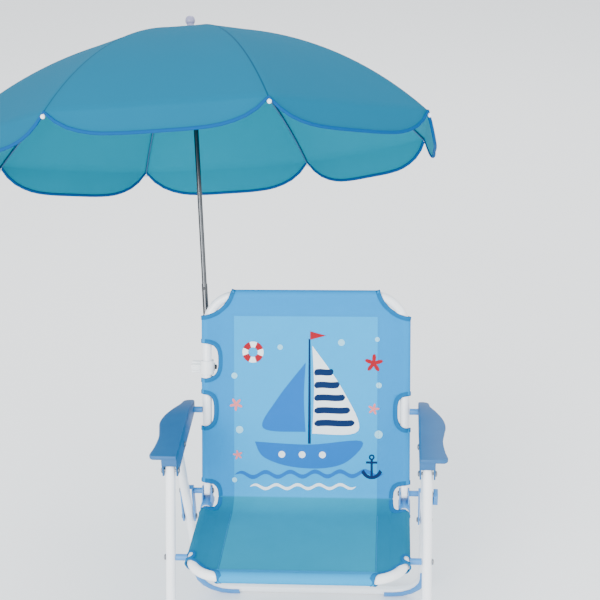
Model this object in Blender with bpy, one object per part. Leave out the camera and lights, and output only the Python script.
"""Folding child's armchair with a sunshade clamped to its back.

Four steel tube frames carry one sling of cloth. The front legs and the back are the two upright
links, and the arms and the seat the two level ones, so the back stays parallel to the front legs
while the chair folds. The rear legs hang from the arms, and a short link on each side ties them
to the hinge between seat and back. A pole in a screw clamp on the left back tube carries the
sunshade, whose eight ribs open with a runner.

Metres, +Z up. The chair faces -Y, and its left, as the picture shows it, is -X.
"""

import math

import bmesh
import bpy
from mathutils import Matrix, Vector

# Fits
TOUCH_GAP = 0.0003
RUNNING_GAP = 0.0005
SHARP_EDGE_DEG = 40.0
OVERRUN = 0.002

# Steel tube of the four frames
TUBE_RADIUS = 0.0065
TUBE_WALL = 0.001
TUBE_SIDES = 12
BEND_RADIUS = 0.045
BEND_STEPS = 5

# Folding frame, side view
LEG_CENTRE_X = 0.16875
FRAME_SLOPE_DEG = 22.5
PIVOT_RISE = 0.116
ARM_REACH = 0.157
REAR_PIVOT_SHARE = 0.3822
REAR_PIVOT_UP = 0.003
REAR_SLOPE_DEG = 20.0
REAR_LEG_LENGTH = 0.355
FOLDED_LEG_SPACING = 0.018
LEG_END_STUB = 0.008
REAR_LEG_END_STUB = 0.006
SPACER_LENGTH = 0.0155
SPACER_RADIUS = 0.0042
PIN_RADIUS = 0.002
PIN_SIDES = 8
PIN_HEAD_RADIUS = 0.004
PIN_HEAD_HEIGHT = 0.0022
PIN_BLIND_DEPTH = 0.0045

# Feet under the corners of the legs
FOOT_WALL = 0.002
FOOT_UP_LEG = 0.014
FOOT_ALONG_BAR = 0.013
FOOT_WRAP_DEG = 100.0
FOOT_SOLE_HALF = 0.0045
FOOT_ARC_STEPS = 3

# Seat and back frames
SEAT_DROP = 0.018
SEAT_FRONT_REACH = 0.048
SEAT_TUBE_END = 0.0045
BACK_HEIGHT = 0.279
TONGUE_HALF_WIDTH = 0.005
TONGUE_RADIUS = 0.0065
TONGUE_LENGTH = 0.0085
TONGUE_ROOT = 0.005
TONGUE_ROOT_HALF_DEPTH = 0.003

# Brackets that hinge the seat tube to the back tube
BRACKET_WALL = 0.0018
BRACKET_SOCKET_FRONT = 0.022
BRACKET_SOCKET_REAR = 0.010
BRACKET_EAR_THICKNESS = 0.0019
BRACKET_EAR_RADIUS = 0.0078
BRACKET_EAR_FRONT = 0.014
BRACKET_EAR_DEPTH = 0.0145

# Armrests
ARM_INNER_X = 0.1584
ARM_WIDTH = 0.0365
ARM_FRONT_OVERHANG = 0.008
ARM_REAR_OVERHANG = 0.009
ARM_TOP_HEIGHT = 0.026
ARM_REAR_FALL = 0.015
ARM_FALL_START = 0.095
ARM_RIM = 0.006
ARM_CHAMFER = 0.0016
ARM_CHANNEL_WIDTH = 0.0205
ARM_CHANNEL_WALL = 0.002
ARM_CHANNEL_CEILING = 0.0045
ARM_BLOCK_FRONT = 0.0072
ARM_CHEEK_RADIUS = 0.008
ARM_CHEEK_REST = 0.006
ARM_OUTLINE_STEPS = 2
# Places along the arm, and widths there from its straight inner edge.
ARM_OUTLINE_SHARES = (
    (0.0, 0.89),
    (0.034, 1.0),
    (0.135, 0.912),
    (0.281, 0.855),
    (0.404, 0.92),
    (0.50, 0.978),
    (0.601, 0.89),
    (0.73, 0.652),
    (0.843, 0.455),
    (0.955, 0.397),
    (1.0, 0.205),
)

# Links between rear legs and seat hinge, and the lock on the right one
LINK_GAP_HALF = 0.0072
LINK_THICKNESS = 0.002
LINK_END_RADIUS = 0.0078
LINK_ARC_STEPS = 6
LOCK_THICKNESS = 0.0062
LOCK_WIDTH = 0.013
LOCK_ABOVE_PIN = 0.003
LOCK_BELOW_PIN = 0.018
LOCK_RIBS = 4
LOCK_RIB_DEPTH = 0.0008
LOCK_RIB_WIDTH = 0.0016

# Cloth of seat and back
CLOTH_HALF_THICKNESS = 0.0006
SLEEVE_RADIUS = 0.008
BACK_TOP_HALF_WIDTH = 0.1033
BACK_CORNER_DROP = 0.0375
BACK_CORNER_BOW = 0.009
BACK_CLOTH_FOOT = 0.0165
ARM_CUTOUT_HALF = 0.0235
ARM_CUTOUT_DEPTH = 0.018
HINGE_CUTOUT_TOP = 0.0135
HINGE_CUTOUT_DEPTH = 0.0235
HINGE_CUTOUT_FRONT = 0.030
CLAMP_CUTOUT_BELOW_TOP = 0.093
CLAMP_CUTOUT_HALF = 0.0255
CLAMP_CUTOUT_DEPTH = 0.024
SEAT_CUTOUT_HALF = 0.010
SEAT_CUTOUT_DEPTH = 0.010
SEAT_REAR_TUCK = 0.006
SEAT_FRONT_HALF_WIDTH = 0.1
SEAT_CORNER_LENGTH = 0.040
SEAT_CORNER_BOW = 0.007
CUTOUT_STEPS = 8
CUTOUT_SQUARENESS = 3.0

# Screw clamp of the sunshade
CLAMP_BELOW_TOP = 0.103
CLAMP_HEIGHT = 0.019
CLAMP_WALL = 0.0027
CLAMP_POLE_SETBACK = 0.018
CLAMP_SLIT = 0.001
CLAMP_BOLT_SETBACK = 0.0101
CLAMP_EAR_RADIUS = 0.006
CLAMP_ARC_STEPS = 8
KNOB_RADIUS = 0.009
KNOB_LENGTH = 0.013
KNOB_FLUTES = 8
KNOB_FLUTE_RADIUS = 0.0022
KNOB_HOLE_RADIUS = 0.0035
KNOB_HOLE_DEPTH = 0.005
KNOB_SIDES = 24
BOLT_HEAD_RADIUS = 0.0034
BOLT_HEAD_HEIGHT = 0.0026

# Sunshade pole
POLE_RECLINE_DEG = 27.0
POLE_LEAN_DEG = 4.0
LOWER_POLE_RADIUS = 0.0042
UPPER_POLE_RADIUS = 0.0035
POLE_WALL = 0.0004
POLE_SIDES = 12
LOWER_POLE_FOOT = 0.035
LOWER_POLE_TOP = 0.118
UPPER_POLE_FOOT = 0.060
SNAP_BUTTON_UP = 0.111
SNAP_BUTTON_RADIUS = 0.002
SNAP_BUTTON_PROUD = 0.001
SNAP_BUTTON_LENGTH = 0.0032

# Sunshade canopy, ribs and stretchers
RIM_ABOVE_CLAMP = 0.320
RIM_RADIUS = 0.355
CANOPY_HEIGHT = 0.165
RIB_COUNT = 8
FIRST_RIB_DEG = 24.0
RIB_RADIUS = 0.0013
RIB_SIDES = 6
RIB_STEPS = 8
RIB_SAGITTA = 0.034
RIB_HINGE_RADIUS = 0.0095
RIB_CLOSED_DEG = 76.5
RIB_CAP_RADIUS = 0.0029
RIB_CAP_LENGTH = 0.007
RIB_CAP_SHARES = ((0.05, 0.7), (0.3, 0.95), (0.6, 1.0), (0.85, 0.75), (1.0, 0.3))
STRETCHER_RADIUS = 0.0011
STRETCHER_REACH = 0.150
STRETCHER_OFFSET = 0.0029
NOTCH_RADIUS = 0.012
NOTCH_HALF_HEIGHT = 0.004
NOTCH_SLOT_WIDTH = 0.0034
NOTCH_SLOT_INNER = 0.0076
NOTCH_SLOT_CEILING = 0.0019
NOTCH_SIDES = 16
RUNNER_SLEEVE_RADIUS = 0.0056
RUNNER_SLEEVE_LENGTH = 0.028
RUNNER_FLARE_RADIUS = 0.0075
RUNNER_FLARE_LENGTH = 0.005
CANOPY_THICKNESS = 0.0012
CANOPY_HOLE_RADIUS = 0.0046
CANOPY_CROWN_RADIUS = 0.0135
CANOPY_SHOULDER_RADIUS = 0.032
CANOPY_ABOVE_RIB = 0.0036
CANOPY_RIB_SHARES = (0.17, 0.34, 0.50, 0.67, 0.84, 1.0)
CANOPY_GORE_SHARES = (0.0, 0.07, 0.2, 0.5, 0.8, 0.93)
VALANCE_DROP = 0.038
VALANCE_SLACK_SHARE = 0.11
VALANCE_FLARE = 0.010
VALANCE_CORNER_POWER = 4.0
VALANCE_TIP_SHARE = 0.03
FINIAL_HEIGHT = 0.0185
FINIAL_STEM_RADIUS = 0.0028
FINIAL_STEM_LENGTH = 0.014
# Widths of the finial over its height, both as shares.
FINIAL_RADIUS = 0.0072
FINIAL_PROFILE_SHARES = (
    (1.0, 0.0),
    (1.0, 0.10),
    (0.74, 0.24),
    (0.70, 0.36),
    (0.92, 0.50),
    (0.97, 0.66),
    (0.82, 0.84),
    (0.46, 0.97),
)

RIGHT = Vector((1.0, 0.0, 0.0))
UP = Vector((0.0, 0.0, 1.0))

# Colours in linear light, roughness and metallic value of each finish
FINISHES = {
    "white_enamel": ((0.86, 0.88, 0.90), 0.32, 0.0),
    "blue_plastic": ((0.07, 0.28, 0.52), 0.45, 0.0),
    "light_blue_plastic": ((0.16, 0.46, 0.80), 0.42, 0.0),
    "teal_cloth": ((0.10, 0.50, 0.68), 0.85, 0.0),
    "canopy_cloth": ((0.06, 0.34, 0.50), 0.80, 0.0),
    "zinc_steel": ((0.55, 0.56, 0.58), 0.35, 1.0),
    "chrome_steel": ((0.62, 0.63, 0.65), 0.15, 1.0),
    "white_plastic": ((0.80, 0.82, 0.84), 0.40, 0.0),
    "black_plastic": ((0.02, 0.02, 0.02), 0.45, 0.0),
    "lilac_plastic": ((0.62, 0.62, 0.72), 0.40, 0.0),
}


def side_view(back, up):
    """A place or direction in the middle plane of the chair."""
    return Vector((0.0, back, up))


def arc(steps, start_deg, end_deg):
    """Angles in radians of an arc's points, both ends included."""
    for step in range(steps + 1):
        yield math.radians(start_deg + (end_deg - start_deg) * step / steps)


class Linkage:
    """The folding frame seen from the side: its pivots, directions and turns."""

    def __init__(self):
        slope = math.radians(FRAME_SLOPE_DEG)
        rear = math.radians(REAR_SLOPE_DEG)
        self.leg_down = side_view(-math.sin(slope), -math.cos(slope))
        self.rear_down = side_view(math.sin(rear), -math.cos(rear))
        self.bar_height = TUBE_RADIUS + TOUCH_GAP + FOOT_WALL
        pivot_height = self.bar_height + REAR_LEG_LENGTH * math.cos(rear) - REAR_PIVOT_UP
        self.front_leg_length = (pivot_height - self.bar_height) / math.cos(slope)
        self.arm_front = side_view(0.0, pivot_height)
        self.arm_rear = self.arm_front + side_view(ARM_REACH, 0.0)
        self.seat_front = self.arm_front + self.leg_down * PIVOT_RISE
        self.seat_rear = self.arm_rear + self.leg_down * PIVOT_RISE
        self.rear_leg_top = self.arm_front + side_view(ARM_REACH * REAR_PIVOT_SHARE, REAR_PIVOT_UP)
        self.seat_back = (self.seat_rear - UP * SEAT_DROP - self.seat_front).normalized()
        self.fold = self.fold_angle()
        self.rear_fold = slope + rear
        self.link_reach = self.link_reach_along_leg()
        self.link_root = self.rear_leg_top + self.rear_down * self.link_reach

    def fold_angle(self):
        """Turn of arms and seat that lays the rear legs beside the front ones."""
        pivot = self.rear_leg_top - self.arm_front
        lift = math.atan2(pivot.z, pivot.y)
        closed = math.asin(FOLDED_LEG_SPACING / pivot.length)
        return lift + math.radians(90.0 + FRAME_SLOPE_DEG) - closed

    def folded(self, place, centre):
        """Where a place on the arms or the seat is once the chair is folded."""
        return centre + Matrix.Rotation(-self.fold, 3, "X") @ (place - centre)

    def link_reach_along_leg(self):
        """Place of the link's pivot on the rear leg, as far from the hinge open as folded."""
        open_gap = self.rear_leg_top - self.seat_rear
        folded_top = self.folded(self.rear_leg_top, self.arm_front)
        folded_gap = folded_top - self.folded(self.seat_rear, self.seat_front)
        spread = 2.0 * (folded_gap.dot(self.leg_down) - open_gap.dot(self.rear_down))
        return (open_gap.length_squared - folded_gap.length_squared) / spread


class Carrier:
    """An empty on a joint's axis, which carries the pieces that move there."""

    def __init__(self, name, matrix, parent=None):
        self.matrix = matrix
        self.empty = bpy.data.objects.new(name, None)
        self.empty.empty_display_size = TUBE_RADIUS
        bpy.context.scene.collection.objects.link(self.empty)
        if parent is None:
            self.empty.matrix_local = matrix
        else:
            self.empty.parent = parent.empty
            self.empty.matrix_local = parent.matrix.inverted() @ matrix


def finish(name):
    """The material of one finish, made once."""
    found = bpy.data.materials.get(name)
    if found:
        return found
    colour, roughness, metallic = FINISHES[name]
    material = bpy.data.materials.new(name)
    material.use_nodes = True
    shader = material.node_tree.nodes["Principled BSDF"]
    shader.inputs["Base Color"].default_value = (*colour, 1.0)
    shader.inputs["Roughness"].default_value = roughness
    shader.inputs["Metallic"].default_value = metallic
    return material


def link_mesh(name, mesh, carrier):
    """An object of this mesh, which is already in the carrier's own frame."""
    piece = bpy.data.objects.new(name, mesh)
    bpy.context.scene.collection.objects.link(piece)
    piece.parent = carrier.empty
    return piece


def add_piece(name, shape, finish_name, carrier):
    """One sub-part from a bmesh in chair coordinates, with its origin on the carrier's axis."""
    bmesh.ops.recalc_face_normals(shape, faces=shape.faces)
    shape.transform(carrier.matrix.inverted())
    mesh = bpy.data.meshes.new(name)
    shape.to_mesh(mesh)
    shape.free()
    mesh.materials.append(finish(finish_name))
    mesh.shade_smooth()
    mesh.set_sharp_from_angle(angle=math.radians(SHARP_EDGE_DEG))
    return link_mesh(name, mesh, carrier)


def apply_tool(piece, shape, carrier, operation, label):
    """Joins a shape to a piece or cuts it away, with a Boolean modifier and a hidden tool."""
    bmesh.ops.recalc_face_normals(shape, faces=shape.faces)
    shape.transform(carrier.matrix.inverted())
    mesh = bpy.data.meshes.new(f"{piece.name}_{label}")
    shape.to_mesh(mesh)
    shape.free()
    tool = link_mesh(mesh.name, mesh, carrier)
    tool.hide_render = True
    tool.display_type = "WIRE"
    modifier = piece.modifiers.new(label, "BOOLEAN")
    modifier.operation = operation
    modifier.object = tool


def skin(shape, rings, loop=True):
    """Quads between neighbouring rings of vertices."""
    for ring, following in zip(rings, rings[1:]):
        count = len(ring) if loop else len(ring) - 1
        for index in range(count):
            after = (index + 1) % len(ring)
            shape.faces.new((ring[index], ring[after], following[after], following[index]))


def circle(radius, sides):
    """Corners of a regular outline, with a flat side facing each way."""
    return [
        (radius * math.cos(turn), radius * math.sin(turn))
        for turn in (2.0 * math.pi * (side + 0.5) / sides for side in range(sides))
    ]


def flat_path(places, normal):
    """Places of a flat curve, each with the direction across it, square to the normal."""
    last = len(places) - 1
    path = []
    for index, place in enumerate(places):
        ahead = places[min(index + 1, last)] - places[max(index - 1, 0)]
        path.append((place, ahead.cross(normal).normalized()))
    return path


def sweep_rings(shape, path, normal, outline):
    """Rings of an outline of (across, along the normal) points, one at each path place."""
    return [
        [shape.verts.new(place + across * out + normal * off) for out, off in outline]
        for place, across in path
    ]


def add_rod(shape, path, normal, outline):
    """A solid bar of this outline along a flat path."""
    rings = sweep_rings(shape, path, normal, outline)
    skin(shape, rings)
    shape.faces.new(rings[0])
    shape.faces.new(rings[-1])


def add_tube(shape, path, normal, radius, wall, sides):
    """A round tube with open ends along a flat path."""
    outer = sweep_rings(shape, path, normal, circle(radius, sides))
    inner = sweep_rings(shape, path, normal, circle(radius - wall, sides))
    skin(shape, outer)
    skin(shape, inner)
    skin(shape, [outer[0], inner[0]])
    skin(shape, [outer[-1], inner[-1]])


def add_bar(shape, start, end, normal, radius, sides):
    """A straight round bar, one of whose flat sides faces along the normal."""
    add_rod(shape, flat_path([start, end], normal), normal, circle(radius, sides))


def add_prism(shape, outline, depth):
    """A solid from a closed outline of 3-D points, extruded along a vector."""
    near = [shape.verts.new(point) for point in outline]
    far = [shape.verts.new(point + depth) for point in outline]
    skin(shape, [near, far])
    shape.faces.new(near)
    shape.faces.new(far)


def add_box(shape, centre, along, across, normal, sizes):
    """A box from its centre, three directions and three full sizes."""
    length, width, height = (size / 2.0 for size in sizes)
    outline = [
        centre + along * (length * a) + across * (width * b) - normal * height
        for a, b in ((-1, -1), (1, -1), (1, 1), (-1, 1))
    ]
    add_prism(shape, outline, normal * (2.0 * height))


def add_turned(shape, profile, matrix, sides, ring_shaped=False):
    """A body turned about the matrix's Z axis from (radius, height) points."""
    rings = []
    for radius, height in profile:
        if radius == 0.0:
            rings.append(shape.verts.new(matrix @ Vector((0.0, 0.0, height))))
        else:
            rings.append(
                [shape.verts.new(matrix @ Vector((x, y, height))) for x, y in circle(radius, sides)]
            )
    pairs = list(zip(rings, rings[1:]))
    if ring_shaped:
        pairs.append((rings[-1], rings[0]))
    for ring, following in pairs:
        if isinstance(ring, list) and isinstance(following, list):
            skin(shape, [ring, following])
            continue
        tip, rim = (ring, following) if isinstance(following, list) else (following, ring)
        for index in range(sides):
            shape.faces.new((rim[index], rim[(index + 1) % sides], tip))


def across_matrix(place, direction=1):
    """A frame whose Z axis runs along +X or -X from a place."""
    return Matrix.Translation(place) @ Matrix.Rotation(direction * math.pi / 2.0, 4, "Y")


def at_side(place, side, half_width):
    """A place in the side view moved out to one side of the chair."""
    return place + RIGHT * (side * half_width)


def add_pin(shape, place, side, inner_x, outer_x, inner_head=True):
    """A riveted pin across one side of the chair, from inner_x out to outer_x."""
    reach = outer_x - inner_x
    head = [(PIN_HEAD_RADIUS, reach), (PIN_HEAD_RADIUS * 0.8, reach + PIN_HEAD_HEIGHT * 0.7)]
    profile = [(PIN_RADIUS, reach), *head, (0.0, reach + PIN_HEAD_HEIGHT)]
    if inner_head:
        mirrored = [(radius, reach - height) for radius, height in reversed(profile)]
        profile = mirrored + profile
    else:
        profile = [(0.0, 0.0), (PIN_RADIUS, 0.0)] + profile
    add_turned(shape, profile, across_matrix(at_side(place, side, inner_x), side), PIN_SIDES)


def pin_holes(places):
    """Cutters for the pins' holes: (place, side, inner_x, outer_x) each."""
    shape = bmesh.new()
    for place, side, inner_x, outer_x in places:
        start = at_side(place, side, inner_x - OVERRUN)
        end = at_side(place, side, outer_x + OVERRUN)
        add_turned(
            shape,
            [
                (0.0, 0.0),
                (PIN_RADIUS + TOUCH_GAP, 0.0),
                (PIN_RADIUS + TOUCH_GAP, (end - start).length),
                (0.0, (end - start).length),
            ],
            across_matrix(start, side),
            PIN_SIDES,
        )
    return shape


SIDES = {"left": -1, "right": 1}
SEAT_CENTRE_X = LEG_CENTRE_X - 2.0 * TUBE_RADIUS - SPACER_LENGTH - 2.0 * TOUCH_GAP
LEG_INNER_X = LEG_CENTRE_X - TUBE_RADIUS
LEG_OUTER_X = LEG_CENTRE_X + TUBE_RADIUS
SEAT_OUTER_X = SEAT_CENTRE_X + TUBE_RADIUS
ARM_OUTER_X = ARM_INNER_X + ARM_CHANNEL_WIDTH
LINK_INNER_X = LEG_CENTRE_X - LINK_GAP_HALF - LINK_THICKNESS
LINK_OUTER_X = LEG_CENTRE_X + LINK_GAP_HALF + LINK_THICKNESS
EAR_INNER = TONGUE_HALF_WIDTH + TOUCH_GAP
EAR_OUTER = EAR_INNER + BRACKET_EAR_THICKNESS


def u_path(free_end, down, length, half_width):
    """Centre line of a U-shaped tube, each place with its direction to the inside of the U."""
    path = []
    for side in (-1, 1):
        centre = at_side(free_end + down * (length - BEND_RADIUS), side, half_width - BEND_RADIUS)
        limb = [(at_side(free_end, side, half_width), RIGHT * -side)]
        for turn in arc(BEND_STEPS, 0.0, 90.0):
            outward = RIGHT * (side * math.cos(turn)) + down * math.sin(turn)
            limb.append((centre + outward * BEND_RADIUS, -outward))
        path += limb if side < 0 else limb[::-1]
    return path


def frame_normal(down):
    """Normal of the plane that a U-shaped frame lies in."""
    return RIGHT.cross(down).normalized()


def build_frame(name, free_end, down, length, half_width, carrier):
    """One U-shaped frame of steel tube."""
    shape = bmesh.new()
    path = u_path(free_end, down, length, half_width)
    add_tube(shape, path, frame_normal(down), TUBE_RADIUS, TUBE_WALL, TUBE_SIDES)
    return add_piece(name, shape, "white_enamel", carrier)


def foot_outline(down):
    """Section of a foot: a clip round the tube with a flat sole towards the floor."""
    normal = frame_normal(down)
    out = RIGHT.cross(normal)
    floor_turn = math.degrees(math.atan2(-normal.z, -out.z))
    inner = TUBE_RADIUS + TOUCH_GAP
    outer = inner + FOOT_WALL
    sole_deg = math.degrees(math.atan2(FOOT_SOLE_HALF, outer))
    points = []
    for edge in (-1, 1):
        spread = (-FOOT_WRAP_DEG, -sole_deg) if edge < 0 else (sole_deg, FOOT_WRAP_DEG)
        for turn in arc(FOOT_ARC_STEPS, floor_turn + spread[0], floor_turn + spread[1]):
            points.append((outer * math.cos(turn), outer * math.sin(turn)))
    lowest = FOOT_ARC_STEPS
    sole = Vector((math.cos(math.radians(floor_turn)), math.sin(math.radians(floor_turn))))
    along = Vector((-sole.y, sole.x))
    points[lowest] = tuple(sole * outer - along * FOOT_SOLE_HALF)
    points[lowest + 1] = tuple(sole * outer + along * FOOT_SOLE_HALF)
    ends = (floor_turn + FOOT_WRAP_DEG, floor_turn - FOOT_WRAP_DEG)
    for turn in arc(2 * FOOT_ARC_STEPS, *ends):
        points.append((inner * math.cos(turn), inner * math.sin(turn)))
    return points


def build_foot(name, free_end, down, length, side, carrier):
    """A plastic foot clipped round one lower corner of a frame."""
    path = u_path(free_end, down, length, LEG_CENTRE_X)
    half = len(path) // 2
    corner = path[1:half] if side < 0 else path[-2 : half - 1 : -1]
    (leg_place, leg_inward), (bar_place, bar_inward) = corner[0], corner[-1]
    start = (leg_place - down * FOOT_UP_LEG, leg_inward)
    end = (bar_place - RIGHT * (side * FOOT_ALONG_BAR), bar_inward)
    shape = bmesh.new()
    add_rod(shape, [start, *corner, end], frame_normal(down), foot_outline(down))
    return add_piece(name, shape, "blue_plastic", carrier)


def build_spacers(name, place, inner_x, outer_x, carrier):
    """Two plastic spacers, one each side, each with a bore for its pin."""
    bore = PIN_RADIUS + TOUCH_GAP
    length = outer_x - inner_x
    profile = [(bore, 0.0), (SPACER_RADIUS, 0.0), (SPACER_RADIUS, length), (bore, length)]
    for label, side in SIDES.items():
        shape = bmesh.new()
        matrix = across_matrix(at_side(place, side, inner_x), side)
        add_turned(shape, profile, matrix, TUBE_SIDES, ring_shaped=True)
        add_piece(f"{name}_{label}", shape, "light_blue_plastic", carrier)


def build_pins(name, place, inner_x, outer_x, carrier, inner_head=True):
    """Two pins of one kind, one each side."""
    for label, side in SIDES.items():
        shape = bmesh.new()
        add_pin(shape, place, side, inner_x, outer_x, inner_head)
        add_piece(f"{name}_{label}", shape, "zinc_steel", carrier)


def build_front_legs(linkage, carrier):
    """Front legs with their floor bar, feet, and the pins and spacers that stay with them."""
    top = linkage.arm_front - linkage.leg_down * LEG_END_STUB
    length = linkage.front_leg_length + LEG_END_STUB
    frame = build_frame(
        "front_leg_frame", top, linkage.leg_down, length, LEG_CENTRE_X, carrier
    )
    holes = pin_holes(
        (place, side, LEG_INNER_X, LEG_OUTER_X)
        for place in (linkage.arm_front, linkage.seat_front)
        for side in SIDES.values()
    )
    apply_tool(frame, holes, carrier, "DIFFERENCE", "pin_holes")
    for label, side in SIDES.items():
        build_foot(f"front_foot_{label}", top, linkage.leg_down, length, side, carrier)
    build_pins(
        "arm_front_pin",
        linkage.arm_front,
        ARM_INNER_X - TOUCH_GAP,
        ARM_OUTER_X + TOUCH_GAP,
        carrier,
    )
    build_pins(
        "seat_front_bolt",
        linkage.seat_front,
        SEAT_OUTER_X - PIN_BLIND_DEPTH,
        LEG_OUTER_X + TOUCH_GAP,
        carrier,
        inner_head=False,
    )
    build_spacers(
        "seat_spacer",
        linkage.seat_front,
        SEAT_OUTER_X + TOUCH_GAP,
        LEG_INNER_X - TOUCH_GAP,
        carrier,
    )


def build_rear_legs(linkage, carrier):
    """Rear legs with their floor bar and feet."""
    top = linkage.rear_leg_top - linkage.rear_down * REAR_LEG_END_STUB
    length = REAR_LEG_LENGTH + REAR_LEG_END_STUB
    frame = build_frame("rear_leg_frame", top, linkage.rear_down, length, LEG_CENTRE_X, carrier)
    holes = pin_holes(
        (place, side, LEG_INNER_X, LEG_OUTER_X)
        for place in (linkage.rear_leg_top, linkage.link_root)
        for side in SIDES.values()
    )
    apply_tool(frame, holes, carrier, "DIFFERENCE", "pin_holes")
    for label, side in SIDES.items():
        build_foot(f"rear_foot_{label}", top, linkage.rear_down, length, side, carrier)


def smooth_curve(points, steps):
    """Points of a smooth curve through the given 2-D points."""
    result = []
    last = len(points) - 1
    for index in range(last):
        before, here = points[max(index - 1, 0)], points[index]
        after, beyond = points[index + 1], points[min(index + 2, last)]
        for step in range(steps):
            share = step / steps
            result.append(
                tuple(
                    0.5
                    * (
                        2.0 * b
                        + (c - a) * share
                        + (2.0 * a - 5.0 * b + 4.0 * c - d) * share**2
                        + (3.0 * b - a - 3.0 * c + d) * share**3
                    )
                    for a, b, c, d in zip(before, here, after, beyond)
                )
            )
    result.append(points[last])
    return result


def arm_sections():
    """Stations along the arm: place behind the front pivot, width and top height."""
    length = ARM_FRONT_OVERHANG + ARM_REACH + ARM_REAR_OVERHANG
    stations = []
    for along, across in smooth_curve(ARM_OUTLINE_SHARES, ARM_OUTLINE_STEPS):
        back = along * length - ARM_FRONT_OVERHANG
        past = max(0.0, back - ARM_FALL_START) / (length - ARM_FRONT_OVERHANG - ARM_FALL_START)
        stations.append((back, across * ARM_WIDTH, ARM_TOP_HEIGHT - ARM_REAR_FALL * past**2))
    return stations


def width_at(back):
    """Width of the arm at a place behind its front pivot."""
    stations = arm_sections()
    for (here, width, _), (there, wider, _) in zip(stations, stations[1:]):
        if here <= back <= there and there > here:
            return width + (wider - width) * (back - here) / (there - here)
    return stations[-1][1]


def loft(shape, sections):
    """A solid through closed sections that all have as many points."""
    rings = [[shape.verts.new(point) for point in section] for section in sections]
    skin(shape, rings)
    shape.faces.new(rings[0])
    shape.faces.new(rings[-1])


def arm_section(linkage, side, back, corners):
    """One section of an arm, from (distance from the inner edge, height) corners."""
    origin = linkage.arm_front + side_view(back, 0.0)
    return [at_side(origin, side, ARM_INNER_X + across) + UP * height for across, height in corners]


def arm_plate(linkage, side):
    """The top of an arm, with its wavy outer edge and chamfered rim."""
    shape = bmesh.new()
    sections = []
    for back, width, top in arm_sections():
        chamfer = min(ARM_CHAMFER, width / 3.0)
        low = top - ARM_RIM
        corners = [
            (0.0, low),
            (0.0, top - chamfer),
            (chamfer, top),
            (width - chamfer, top),
            (width, top - chamfer),
            (width, low),
        ]
        sections.append(arm_section(linkage, side, back, corners))
    loft(shape, sections)
    return shape


def cheek_bottom(back):
    """Lowest point of the arm's side walls: round under the front pivot, then level."""
    if back < ARM_CHANNEL_WALL - ARM_BLOCK_FRONT:
        return math.hypot(LEG_END_STUB, TUBE_RADIUS) + RUNNING_GAP
    if abs(back) < ARM_CHEEK_REST:
        return -math.sqrt(ARM_CHEEK_RADIUS**2 - back**2)
    return -ARM_CHEEK_REST


def arm_channel(linkage, side, hollow):
    """The block under an arm that straddles both legs, or the hollow inside it."""
    wall = ARM_CHANNEL_WALL if hollow else 0.0
    front = -ARM_BLOCK_FRONT + wall
    rear = ARM_REACH + ARM_REAR_OVERHANG - ARM_CHANNEL_WALL - wall
    step = -ARM_BLOCK_FRONT + ARM_CHANNEL_WALL
    places = [-ARM_CHEEK_REST, -ARM_CHEEK_REST / 2.0, 0.0, ARM_CHEEK_REST / 2.0, ARM_CHEEK_REST]
    places += [back for back, _, _ in arm_sections() if ARM_CHEEK_REST < back < rear]
    ends = [front, rear] if hollow else [front, step - TOUCH_GAP, step + TOUCH_GAP, rear]
    sections = []
    for back in sorted(places + ends):
        width = min(ARM_CHANNEL_WIDTH, width_at(back) - ARM_CHAMFER)
        past = max(0.0, back - ARM_FALL_START) / (ARM_REACH + ARM_REAR_OVERHANG - ARM_FALL_START)
        top = ARM_TOP_HEIGHT - ARM_REAR_FALL * past**2
        high = top - (ARM_CHANNEL_CEILING if hollow else ARM_RIM / 2.0)
        low = -ARM_CHEEK_RADIUS - OVERRUN if hollow else cheek_bottom(back)
        corners = [(wall, low), (wall, high), (width - wall, high), (width - wall, low)]
        sections.append(arm_section(linkage, side, back, corners))
    shape = bmesh.new()
    loft(shape, sections)
    return shape


def build_arms(linkage, carrier):
    """Both armrests and the pins on which the rear legs hang."""
    for label, side in SIDES.items():
        arm = add_piece(f"armrest_{label}", arm_plate(linkage, side), "blue_plastic", carrier)
        apply_tool(arm, arm_channel(linkage, side, hollow=False), carrier, "UNION", "channel")
        apply_tool(arm, arm_channel(linkage, side, hollow=True), carrier, "DIFFERENCE", "hollow")
        holes = pin_holes(
            [
                (linkage.arm_front, side, ARM_INNER_X, ARM_OUTER_X),
                (linkage.rear_leg_top, side, ARM_INNER_X, ARM_OUTER_X),
                (linkage.arm_rear, side, ARM_INNER_X, ARM_INNER_X + ARM_CHANNEL_WALL),
            ]
        )
        apply_tool(arm, holes, carrier, "DIFFERENCE", "pin_holes")
    build_pins(
        "rear_leg_pin",
        linkage.rear_leg_top,
        ARM_INNER_X - TOUCH_GAP,
        ARM_OUTER_X + TOUCH_GAP,
        carrier,
    )


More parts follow.
